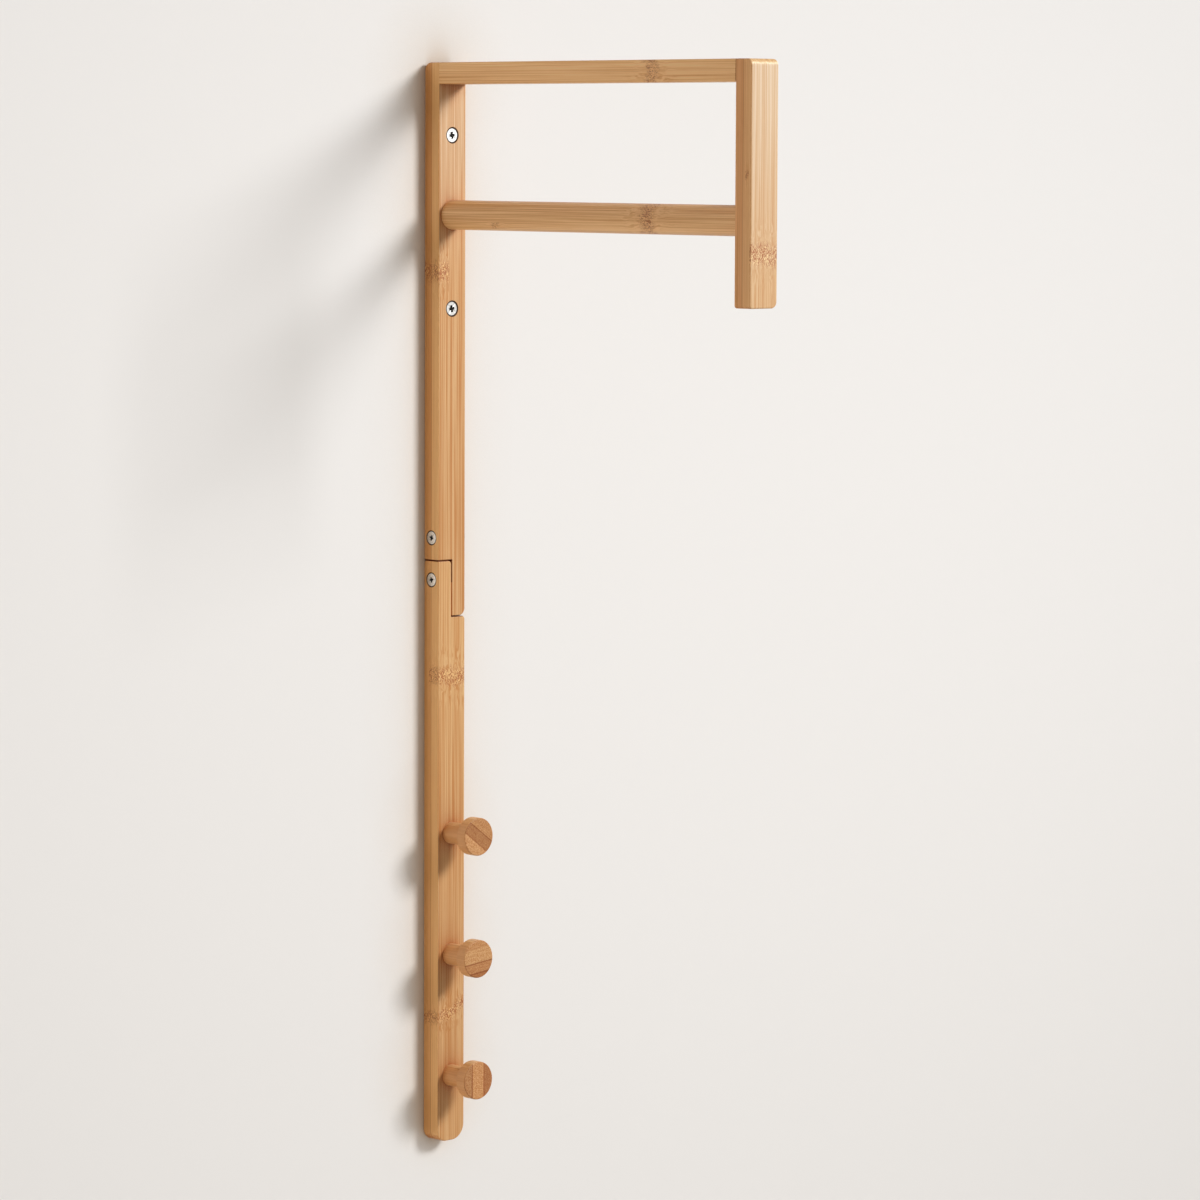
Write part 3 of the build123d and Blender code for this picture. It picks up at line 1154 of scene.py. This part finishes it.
@dataclass
class Rail(Woodwork):
    """The two lengths of the rail, which meet in a half-lap.

    The seam between the tongues is dark down to a height, in millimetres, as painted shade in its open gap,
    and closed below it. The holes have their dark mouths where the screws are sunk in, partly painted shade.
    The fronts get painted shade where they stand close to other pieces.
    """

    hollow_reach: float = 28 * MM
    # The lap's seam tints are dark joint lines, and partly painted shade in the gaps.
    dark_down_to: float = -252
    closed: Color = (0.62, 0.42, 0.30)
    shoulder: Color = (0.46, 0.28, 0.19)

    def finishes(self) -> dict[str, Bamboo]:
        """Chooses the finish of each length.

        Returns:
            The finishes by node.
        """
        return {"upper_rail": self._upper(), "lower_rail": self._lower()}

    @staticmethod
    def _lap() -> tuple[float, float]:
        """Reads the heights of the left shoulder and of the right tongue's end, in millimetres."""
        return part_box("lower_rail")[1][2] / MM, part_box("upper_rail")[0][2] / MM

    def _upper(self) -> Bamboo:
        """Makes the finish of the upper length, with a painted sheen at its top.

        Returns:
            The finish.
        """
        shoulder, tongue_end = self._lap()
        left, front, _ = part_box("upper_rail")[0]
        return Bamboo(
            "bamboo_upper_rail",
            Grain.UPRIGHT,
            strip_width=15.5 * MM,
            strip_shift=18.9 * MM,
            seed=3.0,
            fade=(-55 * MM, 60 * MM),
            faded=(1.06, 1.24, 1.62),
            hollow_reach=self.hollow_reach,
            patches=(
                # Back ply darker: its own ply tone, and painted shade from the wall.
                Patch.ply(-7.5, 1, (0.84, 0.70, 0.60)),
                Patch.seam(-0.2, 0.6, self.dark_down_to, shoulder + 0.5),
                Patch.seam(-0.2, 0.5, tongue_end - 1.3, self.dark_down_to, self.closed),
                Patch.seam(-13, 0.6, shoulder - 0.5, shoulder + 0.8, self.shoulder),
                Patch.seam(0, 13, tongue_end - 1.3, tongue_end + 0.4),
            ),
            knuckles=(Knuckle(-34.5 * MM, 7.5 * MM, high=-2.5 * MM),),
            mouths=(
                Mouth((0.0, front, 60.25 * MM), 5.8 * MM),
                Mouth((0.0, front, -60.25 * MM), 5.8 * MM),
                Mouth((left, front / 2, -220.5 * MM), 5.3 * MM),
            ),
        )

    def _lower(self) -> Bamboo:
        """Makes the finish of the lower length, with a little painted sheen below the lap.

        Returns:
            The finish.
        """
        shoulder, tongue_end = self._lap()
        left, front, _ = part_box("upper_rail")[0]
        return Bamboo(
            "bamboo_lower_rail",
            Grain.UPRIGHT,
            seed=8.0,
            fade=(-480 * MM, -290 * MM),
            faded=(1.07, 1.11, 1.12),
            hollow_reach=self.hollow_reach,
            patches=(
                # Back ply darker: its own ply tone, and painted shade from the wall.
                Patch.ply(-7.5, 1, (0.90, 0.81, 0.74)),
                Patch.seam(-0.6, 0.2, self.dark_down_to, shoulder + 0.5),
                Patch.seam(-0.5, 0.2, tongue_end - 0.6, self.dark_down_to, self.closed),
                Patch.seam(-13, 0.2, shoulder - 0.5, shoulder + 0.5, self.shoulder),
                Patch.seam(0, 13, tongue_end - 0.8, tongue_end + 0.2),
            ),
            knuckles=(
                Knuckle(-317 * MM, 7 * MM, high=2.6 * MM, shallow=-16 * MM, deep=-5 * MM),
                Knuckle(-319.5 * MM, 7 * MM, low=2.6 * MM),
                Knuckle(-556 * MM, 5 * MM, slant=0.35),
            ),
            mouths=(Mouth((left, front / 2, -250 * MM), 5.3 * MM),),
        )


class Hanger(Woodwork):
    """The arm, the drop at its end, the bar between drop and rail, and the dowels inside."""

    def finishes(self) -> dict[str, Bamboo]:
        """Chooses the finish of each piece.

        Returns:
            The finishes by node.
        """
        dowel = Bamboo("beech_dowel", Grain.OUTWARD, ply_thickness=30 * MM, seed=64.0, strip_contrast=0.1)
        return {
            "top_arm": self._arm(),
            "front_drop": self._drop(),
            "hanging_bar": self._bar(),
            "arm_dowels": dowel,
        }

    @staticmethod
    def _arm() -> Bamboo:
        """Makes the arm's finish, as strong in figure on its sides as in front.

        Returns:
            The finish.
        """
        return Bamboo(
            "bamboo_arm",
            Grain.OUTWARD,
            ply_shift=110.5 * MM,
            seed=5.0,
            tone=srgb(234, 189, 129),
            flank=(1.13, 1.03, 1.00),
            flank_calm=0.0,
            broad_contrast=0.25,
            fine_contrast=0.65,
            seam=0.1,
            knuckles=(Knuckle(-227 * MM, 7 * MM),),
        )

    @staticmethod
    def _drop() -> Bamboo:
        """Makes the drop's finish, duller than the others and with a painted sheen at its top.

        Returns:
            The finish.
        """
        return Bamboo(
            "bamboo_drop",
            Grain.UPRIGHT,
            ply_shift=320 * MM,
            seed=13.0,
            tone=srgb(229, 198, 146),
            flank=(1.07, 0.80, 0.66),
            flank_calm=0.2,
            end=(0.92, 0.85, 0.80),
            coat=0.03,
            roughness=0.58,
            broad_contrast=0.22,
            fine_contrast=0.6,
            fade=(-60 * MM, 110 * MM),
            faded=(1.07, 1.27, 1.65),
            patches=(Patch.ply(-312.5, -300, (0.93, 0.84, 0.80)),),
            knuckles=(
                Knuckle(-17 * MM, 8 * MM, deep=-318.6 * MM),
                Knuckle(36 * MM, 3 * MM, high=-9 * MM, shallow=-318 * MM, deep=-314 * MM),
            ),
        )

    @staticmethod
    def _bar() -> Bamboo:
        """Makes the bar's finish, in one ply.

        Returns:
            The finish.
        """
        return Bamboo(
            "bamboo_bar",
            Grain.OUTWARD,
            ply_thickness=30 * MM,
            ply_shift=15 * MM,
            seed=21.0,
            tone=srgb(224, 173, 115),
            flank=(1.12, 1.12, 1.16),
            flank_calm=0.0,
            broad_contrast=0.25,
            fine_contrast=0.7,
            knuckles=(Knuckle(-219 * MM, 8 * MM), Knuckle(-68 * MM, 4 * MM, shallow=-1 * MM, deep=4 * MM)),
        )


@dataclass(frozen=True)
class PegFigure:
    """How one peg's strips lie: the seed of its figure, their turn in degrees, and their tints.

    Each strip has its bounds across the head in millimetres, and its tint. A narrow one is a glue line.
    """

    seed: float
    turn: float
    strips: tuple[tuple[float, float, Color], ...]


@dataclass
class Pegs(Woodwork):
    """The three turned pegs."""

    whole: float = 90 * MM
    figures: dict[str, PegFigure] = field(
        default_factory=lambda: {
            "lower": PegFigure(
                602.0,
                0.0,
                (
                    (-20, -5.6, (0.84, 0.80, 0.78)),
                    (-5.6, 4.9, (1.08, 1.08, 1.10)),
                    (4.9, 20, (0.76, 0.62, 0.54)),
                    (-6.2, -5.2, (0.62, 0.45, 0.34)),
                    (4.6, 5.6, (0.80, 0.62, 0.50)),
                ),
            ),
            "middle": PegFigure(
                515.5,
                96.0,
                (
                    (-20, -2.6, (0.86, 0.78, 0.72)),
                    (-20, -9.6, (0.82, 0.70, 0.60)),
                    (-2.6, 7.6, (1.04, 1.10, 1.14)),
                    (7.6, 20, (0.94, 0.90, 0.86)),
                    (-3.1, -2.2, (0.62, 0.46, 0.36)),
                    (-10.2, -9.2, (0.66, 0.48, 0.36)),
                ),
            ),
            "upper": PegFigure(
                429.0,
                53.5,
                (
                    (-4.3, 3.9, (0.74, 0.64, 0.56)),
                    (3.9, 20, (0.90, 0.86, 0.82)),
                    (-20, -4.3, (1.06, 1.08, 1.12)),
                    (3.5, 4.3, (0.66, 0.48, 0.36)),
                    (-4.8, -3.9, (0.74, 0.58, 0.46)),
                ),
            ),
        }
    )

    def finishes(self) -> dict[str, Bamboo]:
        """Chooses the finish of each peg.

        Returns:
            The finishes by node.
        """
        return {f"peg_{place}": self._peg(place, figure) for place, figure in self.figures.items()}

    def _peg(self, place: str, figure: PegFigure) -> Bamboo:
        """Makes the bamboo of one peg.

        Args:
            place: Which peg it is.
            figure: How its strips lie.

        Returns:
            The peg's finish, as one strip that is wider than the peg, with its strips laid over it as tints.
        """
        low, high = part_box(f"peg_{place}")
        return Bamboo(
            f"bamboo_peg_{place}",
            Grain.OUTWARD,
            heart=(0.0, 0.0, (low[2] + high[2]) / 2),
            strip_width=self.whole,
            strip_shift=self.whole / 2,
            ply_thickness=self.whole,
            ply_shift=self.whole / 2,
            turn=math.radians(figure.turn),
            seed=figure.seed,
            tone=srgb(212, 162, 108),
            end=(0.84, 0.80, 0.76),
            strip_contrast=0.1,
            row_share=0.22,
            flank=(1.14, 1.00, 0.92),
            patches=tuple(Patch.strip(*strip) for strip in figure.strips),
            figure_on_ends=True,
        )


@dataclass
class Room:
    """The pale wall that the rack hangs on, and a floor below it."""

    half_width: float = 4.0
    wall_top: float = 3.2
    floor_level: float = -1.25
    depth: float = 6.0
    behind: float = 0.1 * MM
    touching: float = 1.2 * MM
    paint: Color = srgb(240, 237, 234)
    # A painted pool of light, round a centre on the wall.
    brightest: tuple[float, float, float] = (0.40, 0.0, 0.04)
    brightness_reach: tuple[float, float, float] = (2.70, 1.0, 1.95)
    # The share of a painted glow, which softens the rack's shadow.
    paleness: float = 0.5
    # Painted shade near the rack.
    corner_reach: float = 60 * MM
    corner_power: float = 4.5
    corner_tint: Color = (0.48, 0.33, 0.15)
    floor_color: Color = srgb(214, 208, 198)

    def build(self, studio: "Studio") -> None:
        """Builds both.

        Args:
            studio: The light that falls on them.
        """
        wall = self._plane("wall", self.half_width, (self.wall_top - self.floor_level) / 2)
        bmesh.ops.rotate(wall, verts=wall.verts, matrix=Matrix.Rotation(math.pi / 2, 3, "X"))
        middle = (self.wall_top + self.floor_level) / 2
        bmesh.ops.translate(wall, verts=wall.verts, vec=(0.0, self.behind, middle))
        self._place(wall, "wall", self._wall_paint(studio))
        floor = self._plane("floor", self.half_width, self.depth / 2)
        bmesh.ops.translate(floor, verts=floor.verts, vec=(0.0, -self.depth / 2, self.floor_level))
        self._place(floor, "floor", self._floor_paint())

    def _plane(self, name: str, half_width: float, half_depth: float) -> bmesh.types.BMesh:
        """Makes a flat rectangle that faces up.

        Args:
            name: What it is for.
            half_width: Half its size along X.
            half_depth: Half its size along Y.

        Returns:
            The rectangle's mesh.
        """
        LOG.info("%s: %.1f by %.1f m", name, 2 * half_width, 2 * half_depth)
        bm = bmesh.new()
        bmesh.ops.create_grid(bm, x_segments=1, y_segments=1, size=1.0)
        bmesh.ops.scale(bm, verts=bm.verts, vec=(half_width, half_depth, 1.0))
        return bm

    def _place(self, bm: bmesh.types.BMesh, name: str, paint: bpy.types.Material) -> None:
        """Makes an object of a mesh, for the wall or the floor.

        Args:
            bm: The mesh, which is freed.
            name: The object's name.
            paint: Its material.
        """
        mesh = bpy.data.meshes.new(name)
        bm.to_mesh(mesh)
        bm.free()
        mesh.materials.append(paint)
        surface = bpy.data.objects.new(name, mesh)
        bpy.context.scene.collection.objects.link(surface)

    def _wall_paint(self, studio: "Studio") -> bpy.types.Material:
        """Makes the wall's matt paint.

        It is evenly pale, with a painted pool of light beside the rack and painted shade close to it. Its
        paint is darkened where the lamp falls strongest, and a painted glow for the rays that are looked
        along keeps the rack's shadow soft. Rays that end close to where they start pass through it, so that
        the rack's back isn't black.

        Args:
            studio: The light that falls on the wall, which the paint evens out.

        Returns:
            The material.
        """
        material, graph = new_material("wall_paint")
        graph.tree.nodes.clear()
        place = graph.node("ShaderNodeTexCoord").outputs["Object"]
        # Painted pool of light, brightest round a centre beside the rack.
        away = graph.vector("DIVIDE", graph.vector("SUBTRACT", place, self.brightest), self.brightness_reach)
        far = graph.measure("DOT_PRODUCT", away, away)
        open_air = graph.open_air(self.corner_reach)
        pale = graph.dimmed(self.paint, graph.math("DIVIDE", 1.0, graph.math("ADD", far, 1.0)))
        # Painted shade near the rack: darker and warmer where the wall is closed in.
        pale = graph.mix(1.0, pale, graph.mix(open_air, self.corner_tint, (1.0, 1.0, 1.0)), "MULTIPLY")
        # Paint darkened where the lamp falls strongest: painted shade that evens out the wall's light.
        even = graph.dimmed(pale, graph.math("DIVIDE", 1.0, studio.falls_on(graph, place)))
        matt = graph.node("ShaderNodeBsdfDiffuse", {"Color": even}).outputs[0]
        # Painted glow for the looked-along rays, weaker near the rack: it softens the rack's shadow.
        plain = graph.node("ShaderNodeEmission", {"Color": pale, "Strength": 1.0}).outputs[0]
        kept = graph.math("MULTIPLY", graph.math("POWER", open_air, self.corner_power), self.paleness)
        share = graph.math("MULTIPLY", graph.looked_at(), kept)
        mixed = graph.node("ShaderNodeMixShader", {0: share, 1: matt, 2: plain}).outputs[0]
        length = graph.node("ShaderNodeLightPath").outputs["Ray Length"]
        self._cover(graph, mixed, graph.math("LESS_THAN", length, self.touching))
        return material

    def _floor_paint(self) -> bpy.types.Material:
        """Makes the floor's matt paint.

        Returns:
            The material.
        """
        material, graph = new_material("floor_paint")
        graph.tree.nodes.clear()
        matt = graph.node("ShaderNodeBsdfDiffuse", {"Color": (*self.floor_color, 1.0)}).outputs[0]
        self._cover(graph, matt, 0.0)
        return material

    @staticmethod
    def _cover(graph: Graph, paint: Socket, clear: object) -> None:
        """Ends a material that is see-through from behind.

        Args:
            graph: The material's node tree.
            paint: The shader of its front.
            clear: Where its front is see-through too.
        """
        behind = graph.node("ShaderNodeNewGeometry").outputs["Backfacing"]
        hidden = graph.math("MAXIMUM", behind, clear)
        nothing = graph.node("ShaderNodeBsdfTransparent").outputs[0]
        whole = graph.node("ShaderNodeMixShader", {0: hidden, 1: paint, 2: nothing}).outputs[0]
        graph.node("ShaderNodeOutputMaterial", {"Surface": whole})


@dataclass
class Studio:
    """The soft light and the pale surroundings."""

    lamp_place: Vector = field(default_factory=lambda: Vector((1.22, -2.35, 1.03)))
    lamp_aim: Vector = field(default_factory=lambda: Vector((0.0, -0.1, -0.2)))
    lamp_width: float = 0.92
    lamp_height: float = 0.64
    lamp_power: float = 79.5
    lamp_color: Color = (1.0, 1.023, 1.046)
    sky_strength: float = 0.275
    sky_color: Color = (1.0, 0.90, 0.78)
    backdrop: Color = srgb(244, 241, 236)

    def falls_on(self, graph: Graph, place: Socket) -> Socket:
        """Works out how much light falls on the bare wall.

        Args:
            graph: The wall material's node tree.
            place: The place on the wall.

        Returns:
            The light there, where 1 shows a colour as it is written.
        """
        away = graph.vector("SUBTRACT", tuple(self.lamp_place), place)
        beam = (self.lamp_place - self.lamp_aim).normalized()
        squared = graph.measure("DOT_PRODUCT", away, away)
        facing = graph.measure("DOT_PRODUCT", away, tuple(beam))
        strength = self.lamp_power / math.pi**2 * abs(self.lamp_place.y)
        direct = graph.math("DIVIDE", facing, graph.math("MULTIPLY", squared, squared))
        return graph.math("ADD", graph.math("MULTIPLY", direct, strength), self.sky_strength)

    def build(self) -> None:
        """Makes the lamp and the world."""
        lamp = bpy.data.lights.new("softbox", "AREA")
        lamp.shape, lamp.size, lamp.size_y = "RECTANGLE", self.lamp_width, self.lamp_height
        lamp.energy, lamp.color = self.lamp_power, self.lamp_color
        holder = bpy.data.objects.new("softbox", lamp)
        holder.location = self.lamp_place
        holder.rotation_euler = (self.lamp_aim - self.lamp_place).to_track_quat("-Z", "Y").to_euler()
        bpy.context.scene.collection.objects.link(holder)
        world = bpy.data.worlds.new("surroundings")
        world.use_nodes = True
        bpy.context.scene.world = world
        graph = Graph(world.node_tree)
        world.node_tree.nodes.clear()
        sky = graph.node("ShaderNodeBackground", {0: (*self.sky_color, 1.0), 1: self.sky_strength})
        pale = graph.node("ShaderNodeBackground", {0: (*self.backdrop, 1.0), 1: 1.0})
        shaders = {0: graph.looked_at(), 1: sky.outputs[0], 2: pale.outputs[0]}
        mixed = graph.node("ShaderNodeMixShader", shaders)
        graph.node("ShaderNodeOutputWorld", {"Surface": mixed.outputs[0]})


@dataclass
class Viewpoint:
    """The camera, where the photographer stood."""

    place: Vector = field(default_factory=lambda: Vector((-2.30221, -2.58944, 0.05475)))
    heading: float = math.radians(43.532)
    fall: float = math.radians(5.274)
    roll: float = math.radians(0.266)
    lens: float = 148.24
    sensor: float = 36.0
    nearest: float = 0.05
    farthest: float = 60.0

    def build(self) -> None:
        """Makes the camera, and makes it the scene's own."""
        ahead = Vector(
            (
                math.sin(self.heading) * math.cos(self.fall),
                math.cos(self.heading) * math.cos(self.fall),
                -math.sin(self.fall),
            )
        )
        right = Vector((math.cos(self.heading), -math.sin(self.heading), 0.0))
        turn = Matrix.Rotation(-self.roll, 3, ahead)
        right = turn @ right
        axes = Matrix((right, right.cross(ahead), -ahead)).transposed()
        lens = bpy.data.cameras.new("camera")
        lens.lens, lens.sensor_width = self.lens, self.sensor
        lens.clip_start, lens.clip_end = self.nearest, self.farthest
        camera = bpy.data.objects.new("camera", lens)
        camera.matrix_world = Matrix.Translation(self.place) @ axes.to_4x4()
        bpy.context.scene.collection.objects.link(camera)
        bpy.context.scene.camera = camera


def screw_sets() -> list[ScrewSet]:
    """Chooses the screws.

    Returns:
        One set for each node that holds screws.
    """
    zinc = Plating("bright_zinc", (0.86, 0.86, 0.86), 0.30)
    # The lower wall screw's darker zinc is painted shade, where the lamp's reflection misses it.
    dull_zinc = Plating("dull_zinc", (0.60, 0.59, 0.575), 0.36)
    nickel = Plating("satin_nickel", (0.96, 0.92, 0.86), 0.32)
    yellow = Plating("yellow_zinc", (0.76, 0.66, 0.42), 0.34)
    wall = Screw(
        head=9.8 * MM,
        shank=3.7 * MM,
        thread=5 * MM,
        core=3.2 * MM,
        length=50 * MM,
        plain=15.1 * MM,
        point=6 * MM,
        pitch=2.4 * MM,
        tick_depth=0.16 * MM,
    )
    long = Screw(
        head=7.6 * MM,
        shank=2.9 * MM,
        thread=4 * MM,
        core=2.5 * MM,
        length=45 * MM,
        plain=14.5 * MM,
        point=4.5 * MM,
        pitch=1.8 * MM,
    )
    short = replace(long, length=34 * MM)
    lap = Screw(
        head=9.4 * MM,
        shank=3.3 * MM,
        thread=4.5 * MM,
        core=2.8 * MM,
        length=21.7 * MM,
        plain=12.3 * MM,
        point=4 * MM,
        pitch=2 * MM,
        recess_span=0.42,
        recess_width=0.15,
    )
    bolt = replace(
        lap,
        shank=4.4 * MM,
        thread=5 * MM,
        core=4.2 * MM,
        length=20.2 * MM,
        point=0.8 * MM,
        pitch=0.8 * MM,
        tip=Tip.BLUNT,
    )
    room, back, left = Facing.ROOM, Facing.WALL, Facing.LEFT
    hidden = ("hidden_steel", (yellow,))
    return [
        ScrewSet("wall_screws", "wall_screw_pair", wall, room, "zinc", (dull_zinc, zinc), (0.15, 0.10)),
        ScrewSet("arm_screws", "arm_screw_pair", long, back, *hidden, (0.3, 1.1)),
        ScrewSet("bar_screw", "bar_screw_body", long, back, *hidden, (0.7,)),
        ScrewSet("peg_screws", "peg_screw_row", short, back, *hidden, (0.2, 0.9, 0.5)),
        ScrewSet("lap_screw", "lap_screw_body", lap, left, "nickel", (nickel,), (0.25,)),
        ScrewSet("cross_bolt", "cross_bolt_body", bolt, left, "nickel", (nickel,), (-0.3,)),
    ]


def main() -> None:
    """Builds and dresses the scene."""
    logging.basicConfig(level=logging.INFO, format="%(name)s: %(message)s")
    effects = Effects()
    for work in (Rail(), Hanger(), Pegs()):
        for node in work.dress(effects):
            LOG.info("dressed %s", node)
    for screws in screw_sets():
        piece = screws.build(effects)
        LOG.info("built %s: %d faces", piece.name, len(piece.data.polygons))
    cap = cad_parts["cap_nut"]
    cap.material_slots[0].material = NUT.material(effects)
    LOG.info("dressed cap_nut")
    studio = Studio()
    Room().build(studio)
    studio.build()
    Viewpoint().build()
    bpy.context.scene.view_settings.view_transform = "Standard"


if __name__ == "__main__":
    main()
